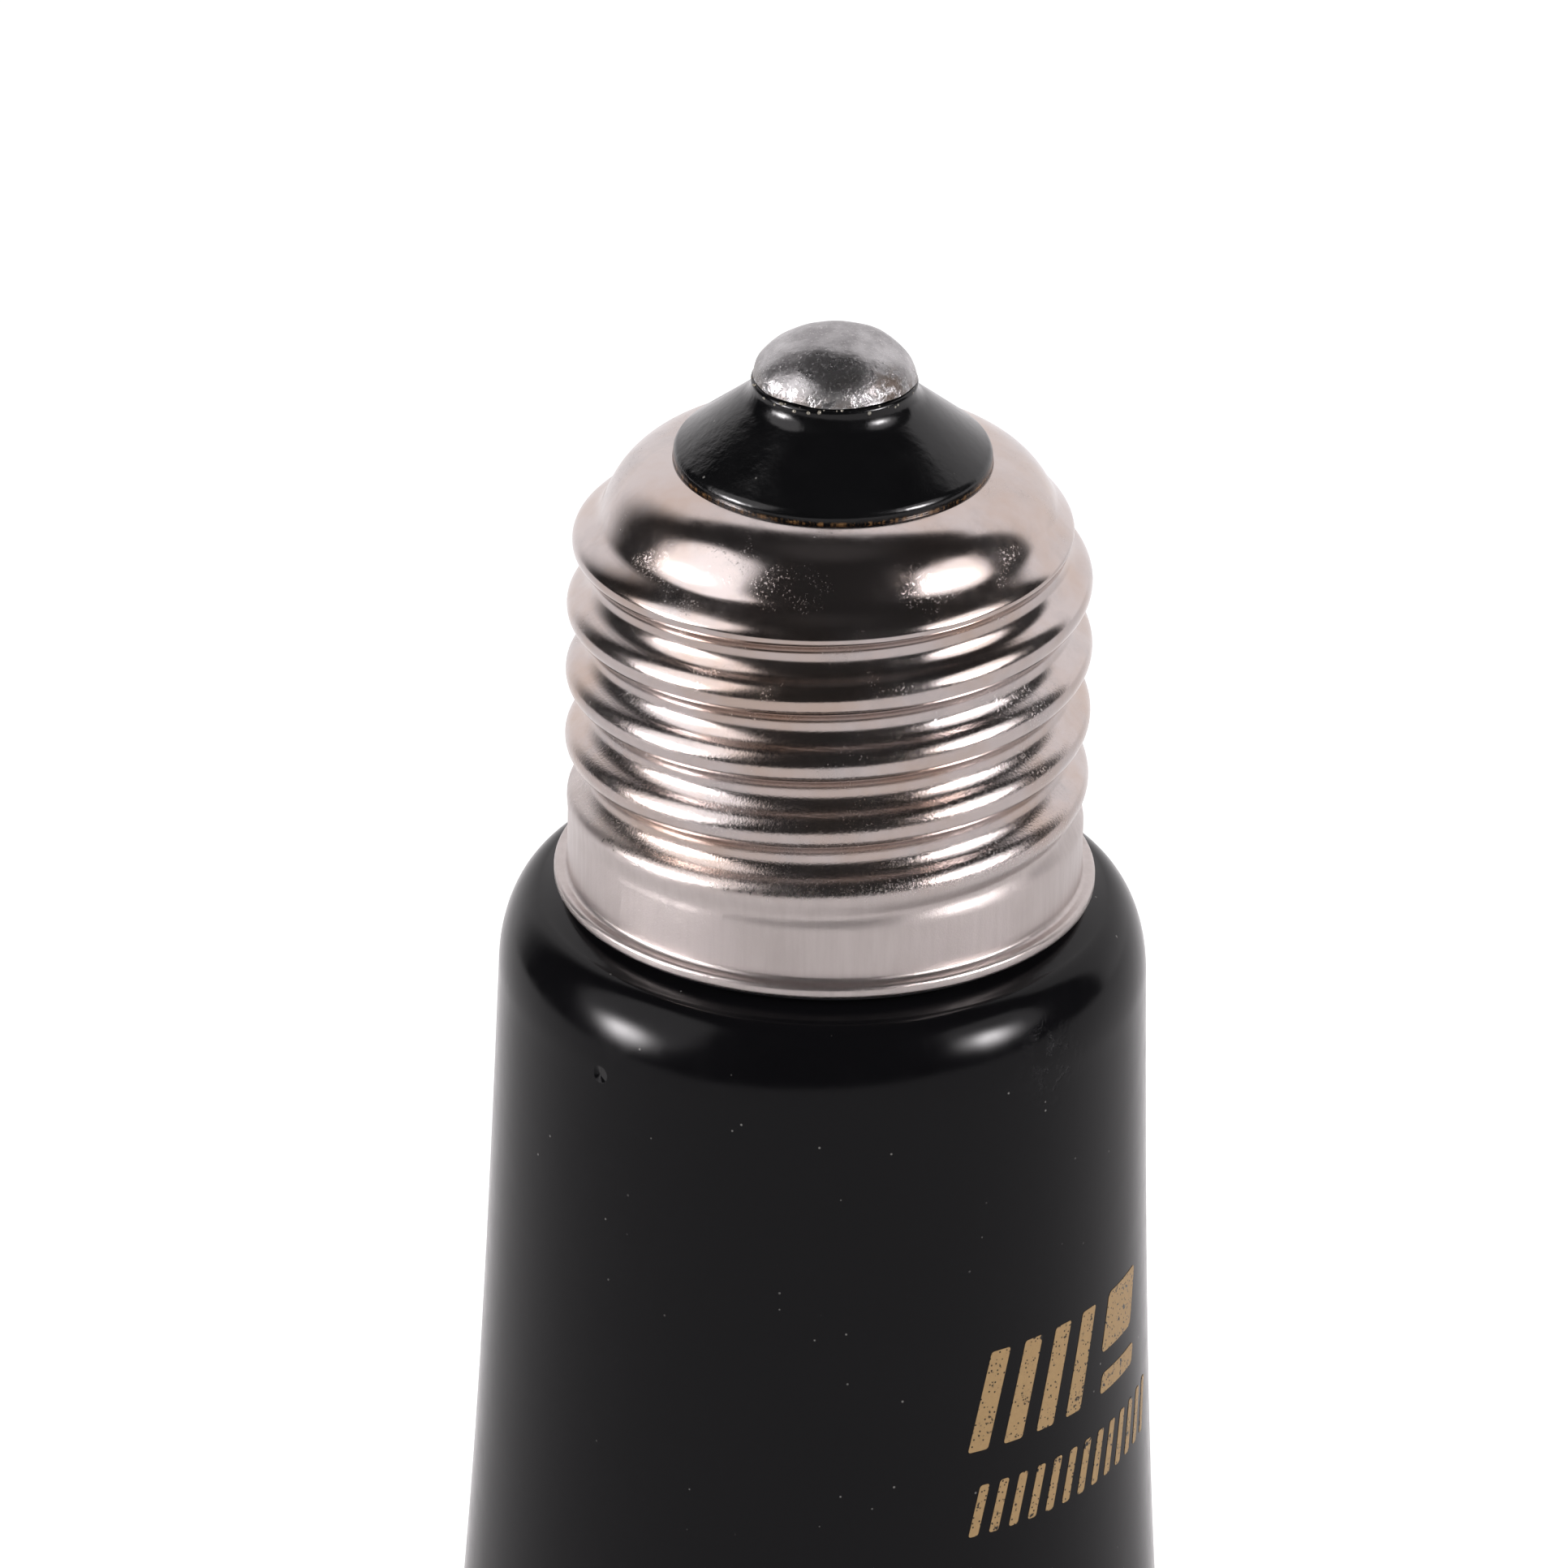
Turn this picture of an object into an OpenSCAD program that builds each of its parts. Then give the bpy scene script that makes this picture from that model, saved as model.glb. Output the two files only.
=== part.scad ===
// Ceramic heat emitter with a screw cap: a moulded bell that gives off heat and no light.
// It stands on its heating face, with the cap on top. Millimetres, +Z along the axis.
// Origin: centre of the heating face, on its raised rings.

/* [Ceramic body] */
// Height from the heating face up to the rim of the screw shell
body_h = 75; // [62:0.5:95]
// Radius of the bell at its widest
bell_r = 37.5; // [31:0.5:50]
// Height of the widest part above the heating face, and radius of the edge below it
bell_edge_h = 6.5; // [4:0.25:9]
// Radius of the rounding just above the widest part
bell_top_r = 5; // [3:0.25:8]
// Radius of the hollow curve between the neck and the bell
flare_r = 25; // [18:0.5:30]
// Gain in radius from the top of the neck to its foot
neck_spread = 1.69; // [0.8:0.01:3]
// Draft of the neck at its top, in degrees
neck_top_draft = 1.7; // [0.5:0.1:2.5]
// Draft of the neck at its foot, in degrees
neck_foot_draft = 4.3; // [3:0.1:6]
// Width of the rounded shoulder at the top of the neck
shoulder_w = 2.2; // [1.2:0.05:4]
// Height of the rounded shoulder
shoulder_h = 4.45; // [2:0.05:8]
// Width of the sloping ledge between the lip of the shell and the shoulder
ledge_w = 0.55; // [0.3:0.05:2]
// Fall of the ledge from the seat to the shoulder
ledge_fall = 0.75; // [0.5:0.05:1.5]
// Height of the step that lifts the seat clear of the ledge
seat_step = 0.3; // [0.1:0.05:0.45]
// Free height between the end of the spigot and the glass above it
spigot_gap = 3.5; // [2.8:0.1:6]
// Chamfer on the end of the spigot
spigot_chamfer = 0.6; // [0.2:0.1:1]

/* [Heating face] */
// Distance between neighbouring grooves
groove_pitch = 5.5; // [4.5:0.1:8]
// Radius of the round bottom of a groove
groove_round_r = 2.2; // [1.6:0.1:2.6]
// Depth of a groove
groove_depth = 1.2; // [0.6:0.1:1.5]

/* [Screw shell] */
// Radius over the crests of the thread
thread_r = 13.15; // [12:0.05:15]
// Rise of the thread in one turn
thread_pitch = 3.629; // [3:0.001:4]
// Radius of the round crests and roots, on the outside
thread_round_r = 1.025; // [1.01:0.005:1.3]
// Height of a crest above the rim, on the +X side
thread_phase = 2.394; // [0:0.001:3.629]
// Thickness of the rolled sheet
shell_wall = 0.28; // [0.2:0.01:0.4]
// Height of the plain skirt below the thread
skirt_h = 3.4; // [2.5:0.1:5]
// Height over which the thread grows out of the skirt
runout_h = 2.6; // [1.5:0.1:4]
// How far the skirt stays inside the crests
skirt_inset = 0.17; // [0.05:0.01:0.4]
// How far the turned lip stands out from the skirt
lip_w = 0.67; // [0.4:0.01:1.2]
// Thickness of the turned lip
lip_h = 0.65; // [0.4:0.01:1]
// Height of the shell's crown above its rim
shell_h = 23.57; // [22:0.01:27]
// Height of the drawn round shoulder below the crown
crown_rise = 14.8; // [10:0.1:16]
// Squareness of the round shoulder, where 2 is an ellipse
crown_power = 5.45; // [4:0.05:7]
// Height over which the thread fades into the crown
fade_h = 2; // [1.2:0.1:5]
// Distance from the end of the thread up to the crown
fade_gap = 2.6; // [1.8:0.01:4]
// Radius of the hole in the crown, which the insulator fills
opening_r = 7.97; // [6.5:0.01:9]

/* [Insulator] */
// Height of the upright glass edge that stands out of the shell
glass_edge_h = 0.5; // [0.3:0.05:1]
// Height of the glass cone
glass_cone_h = 3; // [2:0.05:5]
// Height of the short glass neck under the contact
glass_neck_h = 0.86; // [0.5:0.01:2]
// Radius of the short glass neck
glass_neck_r = 4.15; // [3.9:0.01:5]
// Radius of the fillet between the cone and the neck of the glass
glass_fillet_r = 1; // [0.3:0.05:1.2]
// Radius of the glass bead round the foot of the cone
glass_bead_r = 0.5; // [0.1:0.01:0.8]
// Radius of the softened edge under the contact
glass_rim_r = 0.2; // [0.05:0.01:0.3]
// How far the glass reaches outwards inside the shell
glass_grip = 1.9; // [1:0.05:2.4]
// Depth of the glass below the hole in the crown
glass_depth = 3.9; // [3:0.05:4.5]

/* [Contact] */
// Radius of the solder dome
solder_r = 4.09; // [3.8:0.01:5]
// Height of the solder dome
solder_h = 2.52; // [1.5:0.01:4]
// Fullness of the solder dome, where 2 is an ellipse
solder_power = 1.87; // [1.6:0.01:2.4]
// Radius of the brass contact plate
plate_r = 3.4; // [2.5:0.05:3.6]
// Thickness of the brass contact plate
plate_t = 0.35; // [0.2:0.05:0.6]
// Outer radius of the tube that hangs from the contact plate
eyelet_r = 1.3; // [1.1:0.05:1.8]
// Length of the tube
eyelet_h = 3.5; // [2:0.1:5]

/* [Leads and cement] */
// Radius of the lead wires
lead_r = 0.4; // [0.3:0.05:0.6]
// Distance of the side lead from the axis, where it leaves the ceramic
side_lead_x = 6.5; // [4:0.1:8]
// Depth of the lead holes in the spigot
lead_hole_depth = 3; // [1:0.1:6]
// Height of the side lead's level run above the spigot
side_lead_rise = 1.8; // [1.5:0.1:2.2]
// Radius of the bend in the side lead
side_lead_bend_r = 1.2; // [0.8:0.1:1.4]
// Length of the centre lead inside the solder
lead_in_solder = 1.2; // [0.5:0.1:1.4]
// Thickness of the cement between the spigot and the roots of the thread
cement_t = 1.3; // [0.8:0.05:2.5]
// Free height between the top of the cement and the end of the spigot
cement_gap = 3.5; // [1:0.1:8]

/* [Clearances] */
// Play of the cement and the glass inside the shell
fill_gap = 0.03; // [0.01:0.01:0.1]
// Play between a lead and its hole
lead_gap = 0.1; // [0.05:0.01:0.2]
// Width of the contact line between the shell's rim and its seat
seat_margin = 0.05; // [0.02:0.01:0.2]

/* [Hidden] */
$fn = 128;

// Number of flats round the rolled shell
shell_sides = 48;
// Number of points on a curve of a profile
curve_steps = 14;
// Number of points on a small rounding
round_steps = 4;
// Number of points on the shell's crown, outside and inside, and on the glass below it
crown_steps = 7;
crown_inner_steps = 4;
grip_steps = 8;
// Number of points on the inner corner of the shell's lip
lip_steps = 2;
// Distance between rings of points along the thread, outside and inside
outer_step = 0.3;
inner_step = 0.6;
// A flat-sided ring touches a round one at the middle of its flats
flats_k = cos(180 / shell_sides);
// How far a cut runs past the surface that it opens
over = 1;

// Colours
black_glaze = [0.09, 0.09, 0.1];
nickel = [0.76, 0.71, 0.66];
black_glass = [0.05, 0.045, 0.045];
brass = [0.8, 0.65, 0.35];
solder = [0.55, 0.54, 0.52];
cement = [0.86, 0.83, 0.76];
copper = [0.72, 0.45, 0.3];

// Screw shell
skirt_r = thread_r - skirt_inset;
lip_r = skirt_r + lip_w;
crest_centre_r = thread_r - thread_round_r;
root_centre_r = crest_centre_r
    + sqrt(pow(2 * thread_round_r, 2) - pow(thread_pitch / 2, 2));
root_r = root_centre_r - thread_round_r;
thread_end = shell_h - fade_gap;
fade_start = thread_end - fade_h;
crown_base = shell_h - crown_rise;
// The lip's edge and its inner corner keep flats between their roundings
lip_round = min(0.2, lip_h / 3, lip_w / 3);
lip_fillet = min(0.25, lip_w / 2);

// Ceramic body, worked out from the shell that it carries
rim_z = body_h;
seat_r = skirt_r + seat_margin;
spigot_r = root_r - shell_wall - cement_t;
crest_of_shoulder_r = lip_r + ledge_w;
neck_r = crest_of_shoulder_r + shoulder_w;
neck_top_z = rim_z - ledge_fall - shoulder_h;
foot_r = neck_r + neck_spread;
bell_top_centre = [bell_r - bell_top_r, bell_edge_h];
flare_centre_r = foot_r + flare_r * cos(neck_foot_draft);
flare_reach = flare_centre_r - bell_top_centre.x;
flare_centre_z = bell_top_centre.y
    + sqrt(pow(flare_r + bell_top_r, 2) - pow(flare_reach, 2));
foot_z = flare_centre_z - flare_r * sin(neck_foot_draft);
neck_len = neck_top_z - foot_z;
flare_end_angle = atan2(flare_centre_z - bell_top_centre.y, flare_reach);
face_r = bell_r - bell_edge_h;
groove_half_w = sqrt(pow(groove_round_r, 2) - pow(groove_round_r - groove_depth, 2));
groove_count = floor((face_r - groove_half_w) / groove_pitch);

// Insulator, contact and leads, measured up from the rim of the shell
opening_z = crown_z(opening_r, root_r, crown_rise);
glass_r = opening_r * flats_k - fill_gap;
glass_cone_z = opening_z + glass_edge_h;
glass_neck_z = glass_cone_z + glass_cone_h;
glass_top_z = glass_neck_z + glass_neck_h;
glass_under_z = opening_z - glass_depth;
spigot_h = glass_under_z - spigot_gap;
glass_grip_r = opening_r + glass_grip;
glass_hole_r = eyelet_r + fill_gap;
// The roundings never meet: a short edge or neck takes smaller ones
glass_foot_round = min(glass_bead_r, glass_edge_h);
glass_neck_round = min(glass_fillet_r, 1.2 * glass_neck_h);
glass_rim_round = min(glass_rim_r, glass_neck_h / 4);
lead_hole_r = lead_r + lead_gap;
side_lead_z = spigot_h + side_lead_rise;
cement_h = spigot_h - cement_gap;
cement_skirt_h = skirt_h - fill_gap;

// Points of an arc round a centre, from one angle to another
function arc(centre, r, from, to, steps) =
    [for (i = [0:steps]) let (a = from + (to - from) * i / steps) centre + r * [cos(a), sin(a)]];

function reverse(list) = [for (i = [len(list) - 1:-1:0]) list[i]];

// A list of points without its first one, which the line before it already has
function tail(list) = [for (i = [1:len(list) - 1]) list[i]];

function unit(v) = v / norm(v);

// The corner b between a and c, rounded with radius r
function corner(a, b, c, r) =
    r <= 0 ? [b] :
    let (
        u = unit(a - b),
        v = unit(c - b),
        half = acos(u * v) / 2,
        centre = b + unit(u + v) * r / sin(half),
        start = b + u * r / tan(half) - centre,
        end = b + v * r / tan(half) - centre,
        from = atan2(start.y, start.x),
        turn = atan2(end.y, end.x) - from,
        sweep = turn > 180 ? turn - 360 : turn < -180 ? turn + 360 : turn
    )
    arc(centre, r, from, from + sweep, round_steps);

// A smooth curve between two heights with a given slope at each end
function ease(t, from, to, from_slope, to_slope, len) =
    (2 * pow(t, 3) - 3 * pow(t, 2) + 1) * from
    + (pow(t, 3) - 2 * pow(t, 2) + t) * len * from_slope
    + (3 * pow(t, 2) - 2 * pow(t, 3)) * to
    + (pow(t, 3) - pow(t, 2)) * len * to_slope;

// The drawn crown of the shell is a superellipse that grows out of the thread's root
function crown_r(z, r, rise) =
    z <= crown_base ? r : r * pow(1 - pow((z - crown_base) / rise, crown_power), 1 / crown_power);

function crown_z(x, r, rise) =
    crown_base + rise * pow(1 - pow(x / r, crown_power), 1 / crown_power);

// Points of the crown from height z in to radius x
function crown_points(z, x, r, rise, steps) =
    let (
        from = asin(pow((z - crown_base) / rise, crown_power / 2)),
        to = acos(pow(x / r, crown_power / 2))
    )
    [for (i = [1:steps]) let (a = from + (to - from) * i / steps)
        [r * pow(cos(a), 2 / crown_power), crown_base + rise * pow(sin(a), 2 / crown_power)]];

// Radius of the rolled thread at a distance u from a crest, for a crest of rounding a
function thread_wave(u, a) =
    abs(u) <= a * thread_pitch / (4 * thread_round_r)
        ? crest_centre_r + sqrt(a * a - u * u)
        : root_centre_r
            - sqrt(pow(2 * thread_round_r - a, 2) - pow(thread_pitch / 2 - abs(u), 2));

// Distance along the axis from the nearest crest, which climbs with the angle
function from_crest(z, angle) =
    let (turns = (z - thread_phase) / thread_pitch - angle / 360)
    (turns - floor(turns + 0.5)) * thread_pitch;

// A smooth step from 0 to 1
function blend(t) =
    let (s = min(1, max(0, t)))
    s * s * (3 - 2 * s);

// Radius of the shell's thread zone: the thread stands on the drawn crown, fades out towards
// its top and blends into the skirt below.
// wall is 0 on the outside and the sheet's thickness on the inside.
function shell_r(z, angle, wall) =
    let (
        wave = thread_wave(from_crest(z, angle), thread_round_r - wall) - (root_r - wall),
        crown = crown_r(z, root_r - wall, crown_rise - wall),
        threaded = crown + wave * (1 - blend((z - fade_start) / fade_h)),
        above_skirt = blend((z - skirt_h) / runout_h)
    )
    (skirt_r - wall) * (1 - above_skirt) + threaded * above_skirt;

// One section of the shell at an angle: up the outside and down the inside
function shell_section(angle) =
    let (
        outer_rings = round((thread_end - skirt_h) / outer_step),
        inner_rings = round((thread_end - skirt_h) / inner_step),
        lip = [
            [lip_r - lip_round, 0],
            [lip_r, lip_round],
            [lip_r, lip_h - lip_round],
            [lip_r - lip_round, lip_h]
        ]
    )
    concat(
        lip,
        arc([skirt_r + lip_fillet, lip_h + lip_fillet], lip_fillet, 270, 180, lip_steps),
        [for (i = [0:outer_rings])
            let (z = skirt_h + (thread_end - skirt_h) * i / outer_rings)
            [shell_r(z, angle, 0), z]],
        crown_points(thread_end, opening_r, root_r, crown_rise, crown_steps),
        reverse(crown_points(thread_end, opening_r,
            root_r - shell_wall, crown_rise - shell_wall, crown_inner_steps)),
        [for (i = [inner_rings:-1:0])
            let (z = skirt_h + (thread_end - skirt_h) * i / inner_rings)
            [shell_r(z, angle, shell_wall), z]],
        [[skirt_r - shell_wall, 0]]
    );

// A closed ring-shaped solid through one section at each angle
module ring_of_sections(sections) {
    turns = len(sections);
    count = len(sections[0]);
    points = [for (j = [0:turns - 1]) let (a = 360 * j / turns) for (p = sections[j])
        [p.x * cos(a), p.x * sin(a), p.y]];
    faces = [for (j = [0:turns - 1]) let (k = (j + 1) % turns) for (i = [0:count - 1])
        let (
            n = (i + 1) % count,
            a = j * count + i,
            b = j * count + n,
            c = k * count + n,
            d = k * count + i
        )
        each [[a, b, c], [a, c, d]]];
    polyhedron(points = points, faces = faces, convexity = 10);
}

// The neck swells out of the shoulder, runs down with a slight draft and flares into the bell
function body_outline() =
    concat(
        [[0, 0]],
        arc([face_r, bell_edge_h], bell_edge_h, -90, 0, curve_steps),
        tail(arc(bell_top_centre, bell_top_r, 0, flare_end_angle, curve_steps)),
        tail(arc([flare_centre_r, flare_centre_z], flare_r,
            180 + flare_end_angle, 180 + neck_foot_draft, 2 * curve_steps)),
        [for (i = [1:curve_steps - 1]) let (t = 1 - i / curve_steps)
            [ease(t, neck_r, foot_r, tan(neck_top_draft), tan(neck_foot_draft), neck_len),
                neck_top_z - neck_len * t]],
        [for (i = [0:curve_steps]) let (a = 90 * i / curve_steps)
            [crest_of_shoulder_r + shoulder_w * cos(a), neck_top_z + shoulder_h * sin(a)]],
        [
            [seat_r + seat_margin, rim_z - seat_step],
            [seat_r, rim_z],
            [spigot_r, rim_z],
            [spigot_r, rim_z + spigot_h - spigot_chamfer],
            [spigot_r - spigot_chamfer, rim_z + spigot_h],
            [0, rim_z + spigot_h]
        ]
    );

module groove(r) {
    translate([r, groove_depth - groove_round_r]) circle(r = groove_round_r);
}

module lead_hole(x) {
    translate([x, 0, rim_z + spigot_h - lead_hole_depth])
        cylinder(r = lead_hole_r, h = lead_hole_depth + over);
}

module ceramic_body() {
    color(black_glaze)
    difference() {
        rotate_extrude() difference() {
            polygon(body_outline());
            for (i = [1:groove_count]) groove(i * groove_pitch);
        }
        lead_hole(0);
        lead_hole(-side_lead_x);
    }
}

// Thin nickel-plated sheet with the thread rolled into it
module screw_shell() {
    color(nickel)
    translate([0, 0, rim_z])
        ring_of_sections([for (j = [0:shell_sides - 1]) shell_section(360 * j / shell_sides)]);
}

// Black glass, moulded through the hole in the crown and spread out below it
module cap_insulator() {
    grip_z = crown_z(glass_grip_r, root_r - shell_wall, crown_rise - shell_wall);
    color(black_glass)
    translate([0, 0, rim_z])
    rotate_extrude() polygon(concat(
        [
            [glass_hole_r, glass_under_z],
            [glass_grip_r * flats_k - fill_gap, glass_under_z]
        ],
        [for (p = crown_points(grip_z, glass_r,
            root_r - shell_wall, crown_rise - shell_wall, grip_steps))
            [max(p.x * flats_k, glass_r), p.y - fill_gap]],
        corner([glass_r, opening_z], [glass_r, glass_cone_z], [glass_neck_r, glass_neck_z],
            glass_foot_round),
        corner([glass_r, glass_cone_z], [glass_neck_r, glass_neck_z],
            [glass_neck_r, glass_top_z], glass_neck_round),
        corner([glass_neck_r, glass_neck_z], [glass_neck_r, glass_top_z], [0, glass_top_z],
            glass_rim_round),
        [
            [plate_r, glass_top_z],
            [plate_r, glass_top_z - plate_t],
            [glass_hole_r, glass_top_z - plate_t]
        ]
    ));
}

// Brass plate let into the glass, with the tube that the centre lead comes up through
module contact_plate() {
    color(brass)
    translate([0, 0, rim_z + glass_top_z])
    rotate_extrude() polygon([
        [lead_hole_r, 0],
        [plate_r, 0],
        [plate_r, -plate_t],
        [eyelet_r, -plate_t],
        [eyelet_r, -eyelet_h],
        [lead_hole_r, -eyelet_h]
    ]);
}

// The dome of solder that touches the spring of a lamp holder
module solder_contact() {
    color(solder)
    translate([0, 0, rim_z + glass_top_z])
    difference() {
        rotate_extrude() polygon(concat([[0, 0]],
            [for (i = [0:curve_steps]) let (a = 90 * i / curve_steps)
                [solder_r * pow(cos(a), 2 / solder_power),
                    solder_h * pow(sin(a), 2 / solder_power)]]));
        translate([0, 0, -over]) cylinder(r = lead_r, h = over + lead_in_solder);
    }
}

// Cement that holds the shell: a collar inside the skirt and a sleeve inside the thread
module cap_cement() {
    sleeve_r = crown_r(cement_h, root_r - shell_wall, crown_rise - shell_wall);
    color(cement)
    translate([0, 0, rim_z])
    difference() {
        union() {
            cylinder(r = (skirt_r - shell_wall) * flats_k - fill_gap, h = cement_skirt_h);
            cylinder(r = sleeve_r * flats_k - fill_gap, h = cement_h);
        }
        translate([0, 0, -over]) cylinder(r = spigot_r, h = cement_h + 2 * over);
    }
}

module centre_lead() {
    color(copper)
    translate([0, 0, rim_z + spigot_h - lead_hole_depth])
        cylinder(r = lead_r, h = lead_hole_depth + glass_top_z + lead_in_solder - spigot_h);
}

// The side lead comes up beside the first, bends over and is welded to a root of the thread
module side_lead() {
    upright = lead_hole_depth + side_lead_rise - side_lead_bend_r;
    level_r = side_lead_x + side_lead_bend_r;
    wall_r = min([for (z = [-lead_r, 0, lead_r]) shell_r(side_lead_z + z, 180, shell_wall)])
        * flats_k - fill_gap;
    color(copper)
    translate([0, 0, rim_z + spigot_h - lead_hole_depth]) {
        translate([-side_lead_x, 0, 0]) cylinder(r = lead_r, h = upright);
        translate([-level_r, 0, upright]) rotate([90, 0, 0])
            rotate_extrude(angle = 90) translate([side_lead_bend_r, 0]) circle(r = lead_r);
        translate([-level_r, 0, upright + side_lead_bend_r]) rotate([0, -90, 0])
            cylinder(r = lead_r, h = wall_r - level_r);
    }
}

ceramic_body();
screw_shell();
cap_insulator();
contact_plate();
solder_contact();
cap_cement();
centre_lead();
side_lead();
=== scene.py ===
# %% [markdown]
# # A ceramic heat emitter
# This part screws into a lamp holder and gives off heat but no light. A black glazed ceramic
# body carries a thin nickel cap with a rolled thread. On top sit a black glass insulator and a
# dome of solder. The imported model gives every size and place, and this script gives the looks.

# %% Load the frame
import math
import random
import bpy
from mathutils import Matrix, Vector


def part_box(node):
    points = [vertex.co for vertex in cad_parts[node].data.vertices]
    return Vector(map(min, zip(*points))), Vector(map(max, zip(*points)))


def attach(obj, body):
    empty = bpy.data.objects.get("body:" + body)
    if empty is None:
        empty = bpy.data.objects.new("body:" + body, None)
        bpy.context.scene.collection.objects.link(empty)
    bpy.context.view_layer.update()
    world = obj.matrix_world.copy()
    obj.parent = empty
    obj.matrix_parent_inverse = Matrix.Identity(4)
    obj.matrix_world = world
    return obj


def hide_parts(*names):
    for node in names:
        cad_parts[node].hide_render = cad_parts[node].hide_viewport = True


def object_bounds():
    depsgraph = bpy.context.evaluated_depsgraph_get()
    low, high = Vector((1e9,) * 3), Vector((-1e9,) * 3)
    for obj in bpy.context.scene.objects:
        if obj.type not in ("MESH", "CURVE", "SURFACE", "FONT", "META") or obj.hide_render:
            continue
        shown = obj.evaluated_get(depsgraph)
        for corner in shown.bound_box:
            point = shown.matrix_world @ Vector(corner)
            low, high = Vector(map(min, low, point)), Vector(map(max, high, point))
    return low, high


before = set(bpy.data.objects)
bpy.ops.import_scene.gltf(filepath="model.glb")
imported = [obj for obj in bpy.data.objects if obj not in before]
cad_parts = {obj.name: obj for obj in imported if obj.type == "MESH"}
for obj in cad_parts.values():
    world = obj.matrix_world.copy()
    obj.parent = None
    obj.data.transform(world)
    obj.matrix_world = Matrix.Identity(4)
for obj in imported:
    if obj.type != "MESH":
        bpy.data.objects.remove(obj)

cad_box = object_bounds()
print("CAD box in metres:", [[round(c, 4) for c in corner] for corner in cad_box])

# %% [markdown]
# All sizes below are written in millimetres, because that is how a maker reads them, and MM
# turns them into Blender's metres. Heights on the cap are counted from the rim of the screw
# shell, which the frame tells us: it is the lowest point of the node screw_shell.

# %% Units and places taken from the frame
MM = 0.001
RIM_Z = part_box("screw_shell")[0].z
GLASS_TOP_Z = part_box("cap_insulator")[1].z
SOLDER_TOP_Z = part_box("solder_contact")[1].z
BELL_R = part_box("ceramic_body")[1].x
print("rim of the shell at", round(RIM_Z / MM, 3), "mm, bell radius", round(BELL_R / MM, 3), "mm")

# %% [markdown]
# The camera looks down at the cap from the front with a long lens, so the thread's ellipses
# are nearly alike from top to bottom. Its place was worked out from the size of the standard
# thread: the distance and height below are real ones, and the lens follows from the width of
# the thread in the picture.

# %% Camera
CAMERA_BACK = 513.35 * MM
CAMERA_ABOVE_RIM = 264.36 * MM
CAMERA_PITCH = 0.4678
CAMERA_YAW = -0.00413
CAMERA_ROLL = 0.019
FOCAL_PER_WIDTH = 14097 / 1932
SENSOR = 36.0


def camera_matrix():
    """The camera's turned frame: right, up and back as columns."""
    forward = Vector((
        math.sin(CAMERA_YAW) * math.cos(CAMERA_PITCH),
        math.cos(CAMERA_YAW) * math.cos(CAMERA_PITCH),
        -math.sin(CAMERA_PITCH),
    ))
    level = Vector((math.cos(CAMERA_YAW), -math.sin(CAMERA_YAW), 0))
    upright = level.cross(forward)
    right = level * math.cos(CAMERA_ROLL) + upright * math.sin(CAMERA_ROLL)
    up = upright * math.cos(CAMERA_ROLL) - level * math.sin(CAMERA_ROLL)
    turned = Matrix((right, up, -forward)).transposed().to_4x4()
    place = Vector((0, -CAMERA_BACK, RIM_Z + CAMERA_ABOVE_RIM))
    return Matrix.Translation(place) @ turned


bpy.ops.object.camera_add()
camera = bpy.context.object
camera.name = "camera"
camera.matrix_world = camera_matrix()
camera.data.sensor_width = SENSOR
camera.data.lens = SENSOR * FOCAL_PER_WIDTH
bpy.context.scene.camera = camera
print("camera at", [round(c, 3) for c in camera.location], "lens", round(camera.data.lens, 1))

# %% [markdown]
# Nearly every piece here is turned or spun on one axis, so one pair of helpers does most of
# the modelling. A single vertex is extruded from point to point to draw half a section, and
# Spin sweeps that line round the axis. Doubles are then merged, which closes the seam and the
# poles, and the normals are recalculated to face outwards.

# %% Helpers for modelling
SPIN_STEPS = 192
MERGE = 0.0005 * MM


def deselect():
    """Leave edit mode and select nothing, since an operator acts on all that is selected."""
    if bpy.context.object and bpy.context.object.mode == "EDIT":
        bpy.ops.object.mode_set(mode="OBJECT")
    bpy.ops.object.select_all(action="DESELECT")


def draw_section(name, points):
    """Draw half a section as a chain of edges; points are (radius, height) in metres."""
    deselect()
    bpy.ops.mesh.primitive_plane_add(size=MM, location=(0, 0, 0))
    bpy.context.object.name = name
    bpy.ops.object.mode_set(mode="EDIT")
    bpy.ops.mesh.select_mode(type="VERT")
    bpy.ops.mesh.merge(type="CENTER")
    here = Vector((0, 0, 0))
    first = True
    for radius, height in points:
        there = Vector((radius, 0, height))
        if first:
            bpy.ops.transform.translate(value=there - here)
            first = False
        elif (there - here).length > MERGE:
            bpy.ops.mesh.extrude_region_move(TRANSFORM_OT_translate={"value": there - here})
        else:
            continue
        here = there
    bpy.ops.mesh.select_all(action="SELECT")
    return bpy.context.object


def spin_section(obj, steps):
    """Sweep the drawn section round the axis and close it."""
    bpy.ops.mesh.spin(steps=steps, angle=2 * math.pi, center=(0, 0, 0), axis=(0, 0, 1))
    bpy.ops.mesh.select_all(action="SELECT")
    bpy.ops.mesh.remove_doubles(threshold=MERGE)
    bpy.ops.mesh.normals_make_consistent(inside=False)
    bpy.ops.object.mode_set(mode="OBJECT")
    return obj


def turned_piece(name, points, steps=SPIN_STEPS):
    """A piece turned on the axis from its half section."""
    piece = spin_section(draw_section(name, points), steps)
    smooth(piece)
    return piece


def smooth(obj, degrees=35):
    """Shade smooth, keeping edges that turn by more than the given angle."""
    deselect()
    obj.select_set(True)
    bpy.context.view_layer.objects.active = obj
    bpy.ops.object.shade_smooth_by_angle(angle=math.radians(degrees))


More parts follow.
